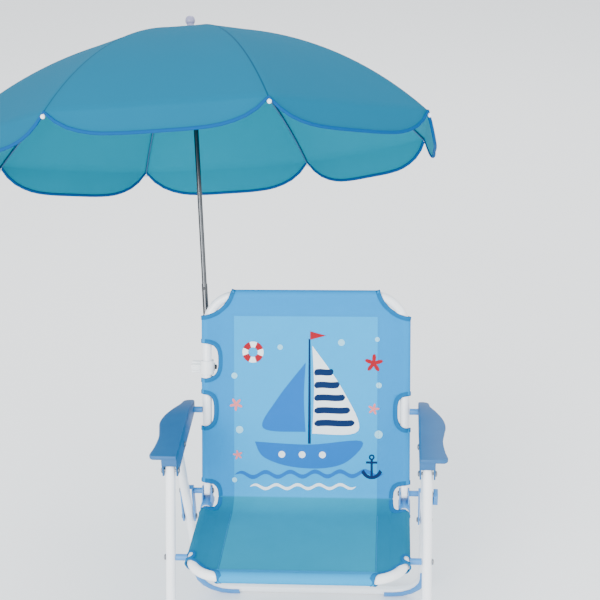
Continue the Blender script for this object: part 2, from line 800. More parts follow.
def build_links(linkage, carrier):
    """The two folding links, each a channel round the rear leg, and their rivets."""
    root, tip = linkage.link_root, linkage.seat_rear
    along = (tip - root).normalized()
    across = RIGHT.cross(along)
    outline = []
    for centre, direction in ((tip, 1.0), (root, -1.0)):
        for turn in arc(LINK_ARC_STEPS, 0.0, 180.0):
            out = across * math.cos(turn) + along * math.sin(turn)
            outline.append(centre + out * (direction * LINK_END_RADIUS))
    reach = (tip - root).length + 2.0 * LINK_END_RADIUS
    slot_middle = (root + tip) / 2.0 - along * LINK_THICKNESS
    for label, side in SIDES.items():
        shape = bmesh.new()
        flat = [at_side(point, side, LINK_INNER_X) for point in outline]
        add_prism(shape, flat, RIGHT * (side * (LINK_OUTER_X - LINK_INNER_X)))
        link = add_piece(f"fold_link_{label}", shape, "light_blue_plastic", carrier)
        slot = bmesh.new()
        sizes = (reach, 2.0 * (LINK_END_RADIUS + OVERRUN), 2.0 * LINK_GAP_HALF)
        add_box(slot, at_side(slot_middle, side, LEG_CENTRE_X), along, across, RIGHT, sizes)
        apply_tool(link, slot, carrier, "DIFFERENCE", "slot")
        holes = pin_holes((place, side, LINK_INNER_X, LINK_OUTER_X) for place in (root, tip))
        apply_tool(link, holes, carrier, "DIFFERENCE", "pin_holes")
    build_pins("link_rivet", root, LINK_INNER_X - TOUCH_GAP, LINK_OUTER_X + TOUCH_GAP, carrier)
    build_pins(
        "link_hinge_pin",
        tip,
        LINK_INNER_X + TOUCH_GAP,
        LINK_OUTER_X + TOUCH_GAP,
        carrier,
        inner_head=False,
    )


def build_lock(linkage, carrier):
    """The lock tab on the outside of the right link, ribbed for the thumb."""
    along = -linkage.rear_down
    across = RIGHT.cross(along)
    inner_x = LINK_OUTER_X + PIN_HEAD_HEIGHT + 2.0 * TOUCH_GAP
    height = LOCK_ABOVE_PIN + LOCK_BELOW_PIN
    middle = linkage.seat_rear + along * (LOCK_ABOVE_PIN - height / 2.0)
    shape = bmesh.new()
    centre = at_side(middle, 1, inner_x + LOCK_THICKNESS / 2.0)
    add_box(shape, centre, along, across, RIGHT, (height, LOCK_WIDTH, LOCK_THICKNESS))
    lock = add_piece("safety_lock", shape, "blue_plastic", carrier)
    grooves = bmesh.new()
    for index in range(LOCK_RIBS):
        place = middle + along * (height * ((index + 1.0) / (LOCK_RIBS + 1.0) - 0.5))
        add_box(
            grooves,
            at_side(place, 1, inner_x + LOCK_THICKNESS),
            along,
            across,
            RIGHT,
            (LOCK_RIB_WIDTH, LOCK_WIDTH + OVERRUN, 2.0 * LOCK_RIB_DEPTH),
        )
    apply_tool(lock, grooves, carrier, "DIFFERENCE", "grooves")
    skirt = bmesh.new()
    seat = LINK_OUTER_X + TOUCH_GAP
    foot = linkage.seat_rear - along * (LOCK_BELOW_PIN - LOCK_RIB_WIDTH)
    add_box(
        skirt,
        at_side(foot, 1, (seat + inner_x) / 2.0 + LOCK_RIB_DEPTH),
        along,
        across,
        RIGHT,
        (2.0 * LOCK_RIB_WIDTH, LOCK_WIDTH, inner_x - seat + 2.0 * LOCK_RIB_DEPTH),
    )
    apply_tool(lock, skirt, carrier, "UNION", "skirt")


def seat_place(linkage, along):
    """A place on the seat frame's centre line, behind the front pivot."""
    return linkage.seat_front + linkage.seat_back * along


def seat_tube_end(linkage):
    """How far behind the front pivot the seat tube ends."""
    reach = linkage.seat_rear - linkage.seat_front
    return reach.dot(linkage.seat_back) + SEAT_TUBE_END


def build_seat_frame(linkage, carrier):
    """The U-shaped seat frame, open to the rear."""
    rear = seat_tube_end(linkage)
    length = rear + SEAT_FRONT_REACH
    frame = build_frame(
        "seat_frame",
        seat_place(linkage, rear),
        -linkage.seat_back,
        length,
        SEAT_CENTRE_X,
        carrier,
    )
    holes = pin_holes(
        (linkage.seat_front, side, SEAT_CENTRE_X, SEAT_OUTER_X) for side in SIDES.values()
    )
    apply_tool(frame, holes, carrier, "DIFFERENCE", "bolt_holes")


def build_seat_brackets(linkage, carrier):
    """Plastic sockets on the seat tube's ends, whose ears carry the back's hinge pins."""
    pivot = linkage.seat_rear
    reach = (pivot - linkage.seat_front).dot(linkage.seat_back)
    normal = RIGHT.cross(linkage.seat_back)
    front = seat_place(linkage, reach - BRACKET_SOCKET_FRONT)
    rear = seat_place(linkage, reach + BRACKET_SOCKET_REAR)
    tube_end = seat_place(linkage, seat_tube_end(linkage) + TOUCH_GAP)
    socket_radius = TUBE_RADIUS + TOUCH_GAP + BRACKET_WALL
    ear = [
        pivot + side_view(math.cos(turn), math.sin(turn)) * BRACKET_EAR_RADIUS
        for turn in arc(CUTOUT_STEPS, -20.0, 170.0)
    ]
    ear.append(pivot - linkage.seat_back * BRACKET_EAR_FRONT - normal * BRACKET_EAR_DEPTH)
    ear.append(pivot + linkage.seat_back * BRACKET_EAR_RADIUS - normal * BRACKET_EAR_DEPTH)
    for label, side in SIDES.items():
        shape = bmesh.new()
        ends = [at_side(place, side, SEAT_CENTRE_X) for place in (front, rear)]
        add_bar(shape, *ends, normal, socket_radius, TUBE_SIDES)
        bracket = add_piece(f"seat_bracket_{label}", shape, "light_blue_plastic", carrier)
        ears = bmesh.new()
        for inner in (-EAR_OUTER, EAR_INNER):
            flat = [at_side(point, side, SEAT_CENTRE_X + inner) for point in ear]
            add_prism(ears, flat, RIGHT * (side * BRACKET_EAR_THICKNESS))
        apply_tool(bracket, ears, carrier, "UNION", "ears")
        boss = bmesh.new()
        boss_ends = (SEAT_CENTRE_X + EAR_INNER + TOUCH_GAP, LINK_INNER_X - TOUCH_GAP)
        ends = [at_side(pivot, side, end) for end in boss_ends]
        add_bar(boss, *ends, linkage.seat_back, SPACER_RADIUS, TUBE_SIDES)
        apply_tool(bracket, boss, carrier, "UNION", "boss")
        bore = bmesh.new()
        mouth = front - linkage.seat_back * OVERRUN
        ends = [at_side(place, side, SEAT_CENTRE_X) for place in (mouth, tube_end)]
        add_bar(bore, *ends, normal, TUBE_RADIUS + TOUCH_GAP, TUBE_SIDES)
        apply_tool(bracket, bore, carrier, "DIFFERENCE", "socket")
        holes = pin_holes(
            [(pivot, side, SEAT_CENTRE_X - EAR_OUTER, LINK_INNER_X)]
        )
        apply_tool(bracket, holes, carrier, "DIFFERENCE", "pin_holes")


def back_place(linkage, up):
    """A place on the back frame's centre line, above the seat hinge."""
    return linkage.seat_rear - linkage.leg_down * up


def build_back_frame(linkage, carrier):
    """The back frame, an upturned U whose lower ends are narrowed to tongues."""
    up = -linkage.leg_down
    behind = RIGHT.cross(up)
    tube_foot = TONGUE_LENGTH
    frame = build_frame(
        "back_frame",
        back_place(linkage, tube_foot),
        up,
        BACK_HEIGHT - tube_foot,
        SEAT_CENTRE_X,
        carrier,
    )
    tongue = [
        linkage.seat_rear + (behind * math.cos(turn) - up * math.sin(turn)) * TONGUE_RADIUS
        for turn in arc(CUTOUT_STEPS, 0.0, 180.0)
    ]
    tongue.append(back_place(linkage, TONGUE_LENGTH - TOUCH_GAP) - behind * TONGUE_RADIUS)
    for edge in (-1.0, 1.0):
        root = back_place(linkage, TONGUE_LENGTH + TONGUE_ROOT)
        tongue.append(root + behind * (edge * TONGUE_ROOT_HALF_DEPTH))
    tongue.append(back_place(linkage, TONGUE_LENGTH - TOUCH_GAP) + behind * TONGUE_RADIUS)
    for label, side in SIDES.items():
        shape = bmesh.new()
        flat = [at_side(point, side, SEAT_CENTRE_X - TONGUE_HALF_WIDTH) for point in tongue]
        add_prism(shape, flat, RIGHT * (side * 2.0 * TONGUE_HALF_WIDTH))
        apply_tool(frame, shape, carrier, "UNION", f"{label}_tongue")
    half_pin = TONGUE_HALF_WIDTH
    holes = pin_holes(
        [
            (linkage.seat_rear, side, SEAT_CENTRE_X - half_pin, SEAT_CENTRE_X + half_pin)
            for side in SIDES.values()
        ]
        + [(linkage.arm_rear, side, SEAT_CENTRE_X, SEAT_OUTER_X) for side in SIDES.values()]
    )
    apply_tool(frame, holes, carrier, "DIFFERENCE", "pin_holes")


def build_back_fittings(linkage, carrier):
    """Shouldered studs on which the arms turn, and the pins through the seat's brackets."""
    inner_x = SEAT_OUTER_X - PIN_BLIND_DEPTH
    shoulder = SEAT_OUTER_X + TOUCH_GAP - inner_x
    shoulder_end = ARM_INNER_X - TOUCH_GAP - inner_x
    head = ARM_INNER_X + ARM_CHANNEL_WALL + TOUCH_GAP - inner_x
    stud = [
        (0.0, 0.0),
        (PIN_RADIUS, 0.0),
        (PIN_RADIUS, shoulder),
        (SPACER_RADIUS, shoulder),
        (SPACER_RADIUS, shoulder_end),
        (PIN_RADIUS, shoulder_end),
        (PIN_RADIUS, head),
        (PIN_HEAD_RADIUS, head),
        (PIN_HEAD_RADIUS, head + PIN_HEAD_HEIGHT / 2.0),
        (0.0, head + PIN_HEAD_HEIGHT),
    ]
    head_x = SEAT_CENTRE_X - EAR_OUTER - TOUCH_GAP
    reach = LINK_INNER_X - 2.0 * TOUCH_GAP - head_x
    pin = [
        (0.0, -PIN_HEAD_HEIGHT),
        (PIN_HEAD_RADIUS, -PIN_HEAD_HEIGHT / 2.0),
        (PIN_HEAD_RADIUS, 0.0),
        (PIN_RADIUS, 0.0),
        (PIN_RADIUS, reach),
        (0.0, reach),
    ]
    for label, side in SIDES.items():
        for name, profile, place, start, finish_name in (
            ("arm_stud", stud, linkage.arm_rear, inner_x, "light_blue_plastic"),
            ("seat_hinge_pin", pin, linkage.seat_rear, head_x, "zinc_steel"),
        ):
            shape = bmesh.new()
            matrix = across_matrix(at_side(place, side, start), side)
            add_turned(shape, profile, matrix, PIN_SIDES)
            add_piece(f"{name}_{label}", shape, finish_name, carrier)


def corner_bite(depth, height, edge, level):
    """A full-bodied quarter cut-out, from the side edge to the corner's end edge."""
    power = 2.0 / CUTOUT_SQUARENESS
    return [
        (edge - depth * math.sin(turn) ** power, level + height * math.cos(turn) ** power)
        for turn in arc(CUTOUT_STEPS, 0.0, 89.999)
    ]


def bite(centre, half, depth, edge):
    """A full-bodied cut-out in a straight edge, from its upper to its lower end."""
    upper = corner_bite(depth, half, edge, centre)
    return upper + [(x, 2.0 * centre - along) for x, along in upper[-2::-1]]


def bow(start, end, depth):
    """A hollow curve between two corners of the cloth."""
    (x_start, y_start), (x_end, y_end) = start, end
    run = math.hypot(x_end - x_start, y_end - y_start)
    inward = ((y_end - y_start) / run, -(x_end - x_start) / run)
    points = []
    for step in range(CUTOUT_STEPS + 1):
        share = step / CUTOUT_STEPS
        sag = depth * 4.0 * share * (1.0 - share)
        points.append(
            (
                x_start + (x_end - x_start) * share + inward[0] * sag,
                y_start + (y_end - y_start) * share + inward[1] * sag,
            )
        )
    return points


def cloth_piece(name, carrier, outline, place, path, normal):
    """Cloth stretched on a U-shaped frame: a sheet with sleeves round the tube.

    The outline's (x, along) points trim it to shape, a little outside the sleeves, and place
    turns one into a place on the sheet's middle plane.
    """
    depth = normal * (2.0 * SLEEVE_RADIUS + OVERRUN)
    levels = [along for _, along in outline]
    middle = (min(levels) + max(levels)) / 2.0
    length = max(levels) - min(levels)
    shape = bmesh.new()
    along = (place(0.0, middle + length) - place(0.0, middle)).normalized()
    sizes = (length - SLEEVE_RADIUS, 2.0 * SEAT_CENTRE_X, 2.0 * CLOTH_HALF_THICKNESS)
    free_side = 1.0 if (path[0][0] - place(0.0, middle)).dot(along) > 0.0 else -1.0
    centre = place(0.0, middle + free_side * (SLEEVE_RADIUS / 2.0 + OVERRUN))
    add_box(shape, centre, along, RIGHT, normal, sizes)
    piece = add_piece(name, shape, "teal_cloth", carrier)
    sleeve = bmesh.new()
    add_rod(sleeve, path, normal, circle(SLEEVE_RADIUS, TUBE_SIDES))
    apply_tool(piece, sleeve, carrier, "UNION", "sleeves")
    trim = bmesh.new()
    add_prism(trim, [place(x, along) - depth / 2.0 for x, along in outline], depth)
    apply_tool(piece, trim, carrier, "INTERSECT", "outline")
    core = bmesh.new()
    add_rod(core, path, normal, circle(TUBE_RADIUS + TOUCH_GAP, TUBE_SIDES))
    apply_tool(piece, core, carrier, "DIFFERENCE", "tube")
    return piece


def build_back_cloth(linkage, carrier):
    """The back's cloth, cut out at the top corners, the arms, the hinges and the clamp."""
    edge = SEAT_CENTRE_X + SLEEVE_RADIUS + OVERRUN
    top = BACK_HEIGHT + SLEEVE_RADIUS + OVERRUN
    corner = (edge, top - BACK_CORNER_DROP)
    right = bow((BACK_TOP_HALF_WIDTH, top), corner, BACK_CORNER_BOW)
    right += bite(PIVOT_RISE, ARM_CUTOUT_HALF, ARM_CUTOUT_DEPTH + OVERRUN, edge)
    hinge_height = HINGE_CUTOUT_TOP + BACK_CLOTH_FOOT
    right += corner_bite(HINGE_CUTOUT_DEPTH + OVERRUN, hinge_height, edge, -BACK_CLOTH_FOOT)
    left = [(-x, up) for x, up in right]
    notch = bite(BACK_HEIGHT - CLAMP_CUTOUT_BELOW_TOP, CLAMP_CUTOUT_HALF, CLAMP_CUTOUT_DEPTH + OVERRUN, edge)
    after = CUTOUT_STEPS + 1
    left = left[:after] + [(-x, up) for x, up in notch] + left[after:]
    outline = right + left[::-1]

    def place(x, up):
        return back_place(linkage, up) + RIGHT * x

    up = -linkage.leg_down
    tube_foot = TONGUE_LENGTH + TONGUE_ROOT
    path = u_path(
        back_place(linkage, tube_foot - BACK_CLOTH_FOOT - TONGUE_ROOT),
        up,
        BACK_HEIGHT - tube_foot + BACK_CLOTH_FOOT + TONGUE_ROOT,
        SEAT_CENTRE_X,
    )
    cloth_piece("back_cloth", carrier, outline, place, path, frame_normal(up))


def fold_place(linkage):
    """How far behind the front pivot the back's plane meets the seat's."""
    start = linkage.seat_rear
    turn = linkage.seat_back.cross(linkage.leg_down).x
    offset = start - linkage.seat_front
    return offset.cross(linkage.leg_down).x / turn


def build_seat_cloth(linkage, carrier):
    """The seat's cloth, cut out at the hinges, at the leg pivots and at the front corners."""
    edge = SEAT_CENTRE_X + SLEEVE_RADIUS + OVERRUN
    front = -SEAT_FRONT_REACH - SLEEVE_RADIUS - OVERRUN
    reach = (linkage.seat_rear - linkage.seat_front).dot(linkage.seat_back)
    rear = fold_place(linkage) + SEAT_REAR_TUCK
    opening = reach - HINGE_CUTOUT_FRONT
    right = corner_bite(HINGE_CUTOUT_DEPTH + OVERRUN, opening - rear, edge, rear)[::-1]
    right += bite(0.0, SEAT_CUTOUT_HALF, SEAT_CUTOUT_DEPTH + OVERRUN, edge)
    right += bow(
        (edge, front + SEAT_CORNER_LENGTH), (SEAT_FRONT_HALF_WIDTH, front), SEAT_CORNER_BOW
    )
    outline = right + [(-x, along) for x, along in right[::-1]]

    def place(x, along):
        return seat_place(linkage, along) + RIGHT * x

    rear_end = seat_tube_end(linkage) + BRACKET_SOCKET_REAR
    path = u_path(
        seat_place(linkage, rear_end),
        -linkage.seat_back,
        rear_end + SEAT_FRONT_REACH,
        SEAT_CENTRE_X,
    )
    cloth_piece("seat_cloth", carrier, outline, place, path, frame_normal(-linkage.seat_back))


def clamp_frame(linkage):
    """Centre of the tube's bore, and the directions up and behind the back."""
    up = -linkage.leg_down
    on_tube = back_place(linkage, BACK_HEIGHT - CLAMP_BELOW_TOP)
    return at_side(on_tube, -1, SEAT_CENTRE_X), up, -RIGHT.cross(up)


def pole_matrix(linkage):
    """Frame of the sunshade pole: origin in the clamp, Z up along the pole."""
    centre, _, behind = clamp_frame(linkage)
    if behind.y < 0.0:
        behind = -behind
    recline = Matrix.Rotation(math.radians(-POLE_RECLINE_DEG), 4, "X")
    lean = Matrix.Rotation(math.radians(-POLE_LEAN_DEG), 4, "Y")
    return Matrix.Translation(centre + behind * CLAMP_POLE_SETBACK) @ lean @ recline


def build_clamp(linkage, carrier, knob_carrier):
    """The screw clamp: a body with two bores and a slit, its bolt and its fluted knob."""
    centre, up, behind = clamp_frame(linkage)
    if behind.y < 0.0:
        behind = -behind
    pole = pole_matrix(linkage)
    tube_lobe = TUBE_RADIUS + TOUCH_GAP + CLAMP_WALL
    pole_lobe = LOWER_POLE_RADIUS + TOUCH_GAP + CLAMP_WALL
    low = centre - up * (CLAMP_HEIGHT / 2.0)
    outline = []
    for setback, radius, start, end in (
        (0.0, tube_lobe, 180.0, 360.0),
        (CLAMP_POLE_SETBACK, pole_lobe, 0.0, 180.0),
    ):
        for turn in arc(CLAMP_ARC_STEPS, start, end):
            out = RIGHT * math.cos(turn) + behind * math.sin(turn)
            outline.append(low + behind * setback + out * radius)
    shape = bmesh.new()
    add_prism(shape, outline, up * CLAMP_HEIGHT)
    clamp = add_piece("umbrella_clamp", shape, "white_plastic", carrier)

    bolt_place = centre + behind * CLAMP_BOLT_SETBACK
    half = tube_lobe + TOUCH_GAP
    bosses = bmesh.new()
    ends = (bolt_place - RIGHT * half, bolt_place + RIGHT * half)
    add_bar(bosses, *ends, up, CLAMP_EAR_RADIUS, KNOB_SIDES)
    apply_tool(clamp, bosses, carrier, "UNION", "bosses")
    bores = bmesh.new()
    reach = up * (CLAMP_HEIGHT / 2.0 + OVERRUN)
    add_bar(bores, centre - reach, centre + reach, behind, TUBE_RADIUS + TOUCH_GAP, TUBE_SIDES)
    along = pole.to_3x3() @ UP * reach.length
    ends = (pole.translation - along, pole.translation + along)
    aside = pole.to_3x3() @ Vector((0.0, 1.0, 0.0))
    add_bar(bores, *ends, aside, LOWER_POLE_RADIUS + TOUCH_GAP, POLE_SIDES)
    apply_tool(clamp, bores, carrier, "DIFFERENCE", "bores")
    slit = bmesh.new()
    depth = CLAMP_POLE_SETBACK + pole_lobe + OVERRUN
    add_box(
        slit,
        centre + behind * (depth / 2.0),
        behind,
        RIGHT,
        up,
        (depth, CLAMP_SLIT, CLAMP_HEIGHT + 2.0 * OVERRUN),
    )
    apply_tool(clamp, slit, carrier, "DIFFERENCE", "slit")
    bolt_hole = bmesh.new()
    add_turned(
        bolt_hole,
        [
            (0.0, -half - OVERRUN),
            (PIN_RADIUS + TOUCH_GAP, -half - OVERRUN),
            (PIN_RADIUS + TOUCH_GAP, half + OVERRUN),
            (0.0, half + OVERRUN),
        ],
        across_matrix(bolt_place),
        PIN_SIDES,
    )
    apply_tool(clamp, bolt_hole, carrier, "DIFFERENCE", "bolt_hole")

    knob_end = half + TOUCH_GAP + KNOB_LENGTH
    shank_end = knob_end - KNOB_HOLE_DEPTH - OVERRUN
    bolt = bmesh.new()
    add_turned(
        bolt,
        [
            (0.0, -half - TOUCH_GAP - BOLT_HEAD_HEIGHT),
            (BOLT_HEAD_RADIUS, -half - TOUCH_GAP - BOLT_HEAD_HEIGHT),
            (BOLT_HEAD_RADIUS, -half - TOUCH_GAP),
            (PIN_RADIUS, -half - TOUCH_GAP),
            (PIN_RADIUS, shank_end),
            (0.0, shank_end),
        ],
        across_matrix(bolt_place, -1),
        PIN_SIDES,
    )
    add_piece("clamp_bolt", bolt, "black_plastic", carrier)

    knob = bmesh.new()
    outer = []
    for index in range(KNOB_SIDES):
        turn = 2.0 * math.pi * index / KNOB_SIDES
        dip = 0.5 * (1.0 + math.cos(KNOB_FLUTES * turn))
        outer.append((turn, KNOB_RADIUS - KNOB_FLUTE_RADIUS * (1.0 - dip)))
    matrix = across_matrix(bolt_place, -1)
    rings = [
        [
            knob.verts.new(matrix @ Vector((radius * math.cos(turn), radius * math.sin(turn), height)))
            for turn, radius in outer
        ]
        for height in (half + TOUCH_GAP, knob_end)
    ]
    hole = [(KNOB_HOLE_RADIUS, knob_end), (KNOB_HOLE_RADIUS, knob_end - KNOB_HOLE_DEPTH)]
    thread = [
        (PIN_RADIUS + TOUCH_GAP, shank_end + TOUCH_GAP),
        (PIN_RADIUS + TOUCH_GAP, half + TOUCH_GAP),
    ]
    inner = [
        [
            knob.verts.new(
                matrix
                @ Vector(
                    (
                        radius * math.cos(2.0 * math.pi * index / KNOB_SIDES),
                        radius * math.sin(2.0 * math.pi * index / KNOB_SIDES),
                        height,
                    )
                )
            )
            for index in range(KNOB_SIDES)
        ]
        for radius, height in hole + thread
    ]
    skin(knob, [rings[0], rings[1], inner[0], inner[1]])
    knob.faces.new(inner[1])
    skin(knob, [inner[2], inner[3], rings[0]])
    knob.faces.new(inner[2])
    add_piece("clamp_knob", knob, "white_plastic", knob_carrier)


class Canopy:
    """Rib curve and levels of the sunshade, in the pole's own frame."""

    def __init__(self):
        self.underside = NOTCH_HALF_HEIGHT + TOUCH_GAP
        self.hinge_height = RIM_ABOVE_CLAMP + CANOPY_HEIGHT - self.underside - CANOPY_THICKNESS
        self.drop = self.hinge_height - RIM_ABOVE_CLAMP
        self.run = RIM_RADIUS - RIB_HINGE_RADIUS
        self.chord = math.hypot(self.run, self.drop)
        self.chord_dip = math.atan2(self.drop, self.run)
        self.half_turn = 2.0 * math.atan(2.0 * RIB_SAGITTA / self.chord)
        self.bend = self.chord / (2.0 * math.sin(self.half_turn))
        self.fold = math.radians(RIB_CLOSED_DEG) - self.chord_dip
        self.joint = self.rib_place(self.joint_share())
        self.runner_height = self.hinge_height + 2.0 * self.joint.z

    def rib_place(self, share):
        """A place on the rib's centre line, outward and up from its hinge."""
        turn = self.half_turn * (2.0 * share - 1.0)
        along = self.bend * (math.sin(self.half_turn) + math.sin(turn))
        bulge = self.bend * (math.cos(turn) - math.cos(self.half_turn))
        cosine, sine = math.cos(self.chord_dip), math.sin(self.chord_dip)
        return Vector((along * cosine + bulge * sine, 0.0, bulge * cosine - along * sine))

    def joint_share(self):
        """Share of the rib at which its stretcher is joined."""
        return math.asin(STRETCHER_REACH / (2.0 * self.bend)) / self.half_turn


def rib_matrix(pole, canopy, index):
    """Frame of one rib: origin on its hinge, X outward and Z along the pole."""
    turn = math.radians(FIRST_RIB_DEG) + 2.0 * math.pi * index / RIB_COUNT
    return (
        pole
        @ Matrix.Translation((0.0, 0.0, canopy.hinge_height))
        @ Matrix.Rotation(turn, 4, "Z")
        @ Matrix.Translation((RIB_HINGE_RADIUS, 0.0, 0.0))
    )


def rod_with_ends(shape, places, radii, sides):
    """A round rod through places in the XZ plane, closed to a point at both ends."""
    normal = Vector((0.0, 1.0, 0.0))
    rings = [
        [
            shape.verts.new(place + across * (radius * out) + normal * (radius * off))
            for out, off in circle(1.0, sides)
        ]
        for (place, across), radius in zip(flat_path(places, normal), radii)
    ]
    skin(shape, rings)
    shape.faces.new(rings[0])
    shape.faces.new(rings[-1])


def rib_mesh(canopy):
    """One curved steel rib with the ball-shaped cap that the canopy's corner is sewn to."""
    shape = bmesh.new()
    places = [canopy.rib_place(step / RIB_STEPS) for step in range(RIB_STEPS + 1)]
    radii = [RIB_RADIUS] * (RIB_STEPS + 1)
    outward = (places[-1] - places[-2]).normalized()
    for share, width in RIB_CAP_SHARES:
        places.append(places[RIB_STEPS] + outward * (RIB_CAP_LENGTH * share))
        radii.append(RIB_CAP_RADIUS * width)
    rod_with_ends(shape, places, radii, RIB_SIDES)
    return shape


def stretcher_mesh(canopy):
    """One stretcher from its joint on the rib, at the origin, down to the runner."""
    shape = bmesh.new()
    foot = Vector((-canopy.joint.x, 0.0, canopy.joint.z))
    rod_with_ends(shape, [Vector(), foot], [STRETCHER_RADIUS] * 2, RIB_SIDES)
    return shape


def shared_mesh(name, shape, finish_name):
    """A mesh in its carrier's own frame that several objects share."""
    bmesh.ops.recalc_face_normals(shape, faces=shape.faces)
    mesh = bpy.data.meshes.new(name)
    shape.to_mesh(mesh)
    shape.free()
    mesh.materials.append(finish(finish_name))
    mesh.shade_smooth()
    mesh.set_sharp_from_angle(angle=math.radians(SHARP_EDGE_DEG))
    return mesh


def slotted_hub(name, carrier, height, slot_top, offset, profile):
    """A turned hub with one slot for each rib or stretcher, open below and at its rim."""
    pole = carrier.matrix
    level = pole @ Matrix.Translation((0.0, 0.0, height))
    shape = bmesh.new()
    add_turned(shape, profile, level, NOTCH_SIDES, ring_shaped=True)
    hub = add_piece(name, shape, "white_plastic", carrier)
    slots = bmesh.new()
    slot_foot = -NOTCH_HALF_HEIGHT - OVERRUN
    long = NOTCH_RADIUS - NOTCH_SLOT_INNER + OVERRUN
    for index in range(RIB_COUNT):
        turn = math.radians(FIRST_RIB_DEG) + 2.0 * math.pi * index / RIB_COUNT
        frame = (level @ Matrix.Rotation(turn, 4, "Z")).to_3x3()
        out, aside, up = frame.col[0], frame.col[1], frame.col[2]
        centre = (
            level.translation
            + out * (NOTCH_SLOT_INNER + long / 2.0)
            + aside * offset
            + up * ((slot_top + slot_foot) / 2.0)
        )
        sizes = (long, NOTCH_SLOT_WIDTH, slot_top - slot_foot)
        add_box(slots, centre, out, aside, up, sizes)
    apply_tool(hub, slots, carrier, "DIFFERENCE", "slots")
    return hub


def build_hubs(pole_carrier, runner_carrier, canopy):
    """The notch that holds the ribs at the pole's top, and the runner of the stretchers."""
    bore = UPPER_POLE_RADIUS + TOUCH_GAP
    notch = [
        (bore, -NOTCH_HALF_HEIGHT),
        (NOTCH_RADIUS, -NOTCH_HALF_HEIGHT),
        (NOTCH_RADIUS, NOTCH_HALF_HEIGHT),
        (bore, NOTCH_HALF_HEIGHT),
    ]
    slotted_hub(
        "top_notch", pole_carrier, canopy.hinge_height, NOTCH_SLOT_CEILING, 0.0, notch
    )
    foot = -NOTCH_HALF_HEIGHT - RUNNER_SLEEVE_LENGTH
    runner = [
        (bore, foot),
        (RUNNER_FLARE_RADIUS, foot),
        (RUNNER_FLARE_RADIUS, foot + RUNNER_FLARE_LENGTH),
        (RUNNER_SLEEVE_RADIUS, foot + 1.5 * RUNNER_FLARE_LENGTH),
        (RUNNER_SLEEVE_RADIUS, -NOTCH_HALF_HEIGHT),
        (NOTCH_RADIUS, -NOTCH_HALF_HEIGHT),
        (NOTCH_RADIUS, NOTCH_HALF_HEIGHT),
        (bore, NOTCH_HALF_HEIGHT),
    ]
    through = NOTCH_HALF_HEIGHT + OVERRUN
    slotted_hub(
        "runner", runner_carrier, canopy.runner_height, through, STRETCHER_OFFSET, runner
    )


def canopy_point(canopy, pole, gore, across, row, thickness):
    """A place on the canopy: row is (rib place, drop, flare), across runs from rib to rib."""
    place, drop, flare = row
    radius = RIB_HINGE_RADIUS + place.x
    corners = []
    for end in (gore, gore + 1):
        turn = math.radians(FIRST_RIB_DEG) + 2.0 * math.pi * end / RIB_COUNT
        corners.append(Vector((radius * math.cos(turn), radius * math.sin(turn), 0.0)))
    flat = corners[0].lerp(corners[1], across)
    edge = 1.0 - abs(2.0 * across - 1.0) ** VALANCE_CORNER_POWER
    reach = VALANCE_TIP_SHARE + (1.0 - VALANCE_TIP_SHARE) * edge
    away = flat.normalized()
    slack = 1.0 + VALANCE_SLACK_SHARE * away.y
    outward = away * (flare * reach)
    height = canopy.hinge_height + place.z - drop * slack * reach + thickness
    return pole @ (flat + outward + UP * height)


def canopy_rows(canopy):
    """Rows of the canopy from the pole to the hem: (rib place, drop, flare)."""
    rows = []
    for radius in (CANOPY_HOLE_RADIUS, CANOPY_CROWN_RADIUS):
        rows.append((Vector((radius - RIB_HINGE_RADIUS, 0.0, canopy.underside)), 0.0, 0.0))
    shoulder = Vector((CANOPY_SHOULDER_RADIUS - RIB_HINGE_RADIUS, 0.0, CANOPY_ABOVE_RIB))
    rows.append((shoulder, 0.0, 0.0))
    for share in CANOPY_RIB_SHARES:
        rows.append((canopy.rib_place(share) + UP * CANOPY_ABOVE_RIB, 0.0, 0.0))
    rim = rows[-1][0]
    rows.append((rim, VALANCE_DROP / 2.0, VALANCE_FLARE / 2.0))
    rows.append((rim, VALANCE_DROP, VALANCE_FLARE))
    return rows


def build_canopy(canopy, carrier):
    """The canopy: eight gores between the ribs, with a scalloped valance below the rim."""
    pole = carrier.matrix
    rows = canopy_rows(canopy)
    shape = bmesh.new()
    layers = []
    for thickness in (0.0, CANOPY_THICKNESS):
        rings = []
        for row in rows:
            ring = []
            for gore in range(RIB_COUNT):
                for across in CANOPY_GORE_SHARES:
                    place = canopy_point(canopy, pole, gore, across, row, thickness)
                    ring.append(shape.verts.new(place))
            rings.append(ring)
        layers.append(rings)
    for rings in layers:
        skin(shape, rings)
    skin(shape, [layers[0][0], layers[1][0]])
    skin(shape, [layers[0][-1], layers[1][-1]])
    add_piece("canopy", shape, "canopy_cloth", carrier)


def build_finial(canopy, carrier):
    """The turned knob on the pole's top, whose stem goes down through the canopy."""
    base = canopy.hinge_height + canopy.underside + CANOPY_THICKNESS + TOUCH_GAP
    profile = [(0.0, base - FINIAL_STEM_LENGTH), (FINIAL_STEM_RADIUS, base - FINIAL_STEM_LENGTH)]
    profile.append((FINIAL_STEM_RADIUS, base))
    for width, height in FINIAL_PROFILE_SHARES:
        profile.append((FINIAL_RADIUS * width, base + FINIAL_HEIGHT * height))
    profile.append((0.0, base + FINIAL_HEIGHT))
    shape = bmesh.new()
    add_turned(shape, profile, carrier.matrix, POLE_SIDES)
    add_piece("finial", shape, "lilac_plastic", carrier)


def straight_tube(name, pole, low, high, radius, finish_name, carrier):
    """A straight length of pole."""
    shape = bmesh.new()
    bore = radius - POLE_WALL
    profile = [(bore, low), (radius, low), (radius, high), (bore, high)]
    add_turned(shape, profile, pole, POLE_SIDES, ring_shaped=True)
    return add_piece(name, shape, finish_name, carrier)


